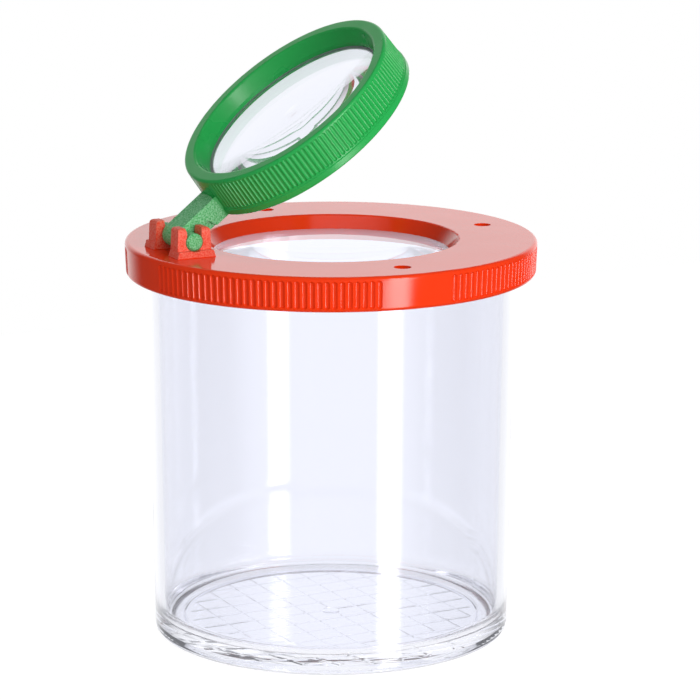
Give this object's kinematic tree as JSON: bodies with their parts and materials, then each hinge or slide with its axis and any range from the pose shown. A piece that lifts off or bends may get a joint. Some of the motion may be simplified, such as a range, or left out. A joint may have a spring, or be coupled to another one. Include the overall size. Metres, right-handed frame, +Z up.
{
  "type": "bug viewer",
  "caption": "Clear tapered pot with a push-on fluted lid, a lens set in the lid and a second magnifier on a hinged ring above it.",
  "frame": {"origin": "middle of the pot's foot, on the surface that it stands on", "axes": "+Z up along the pot's axis; the magnifier's hinge is on the -X side of the lid, its axis along Y"},
  "size_m": [0.0718, 0.0718, 0.1074],
  "materials": {
    "clear_polystyrene": "clear, polished mould, faint blue cast",
    "orange_plastic": "glossy moulded, orange red",
    "clear_acrylic": "clear, optical polish",
    "green_plastic": "satin moulded, mid green"
  },
  "bodies": {
    "pot": {"pot": "clear_polystyrene"},
    "lid": {"lid": "orange_plastic", "lid_lens": "clear_acrylic"},
    "magnifier": {"magnifier_frame": "green_plastic", "magnifier_lens": "clear_acrylic"}
  },
  "joints": [
    {"name": "lid_lift", "type": "slide", "parent": "pot", "child": "lid", "axis": [0, 0, 1], "range_m": [0, 0.08]},
    {"name": "magnifier_hinge", "type": "hinge", "parent": "lid", "child": "magnifier", "pos_m": [-0.0289, 0, 0.0726], "axis": [0, -1, 0], "range_deg": [-38, 130]}
  ]
}
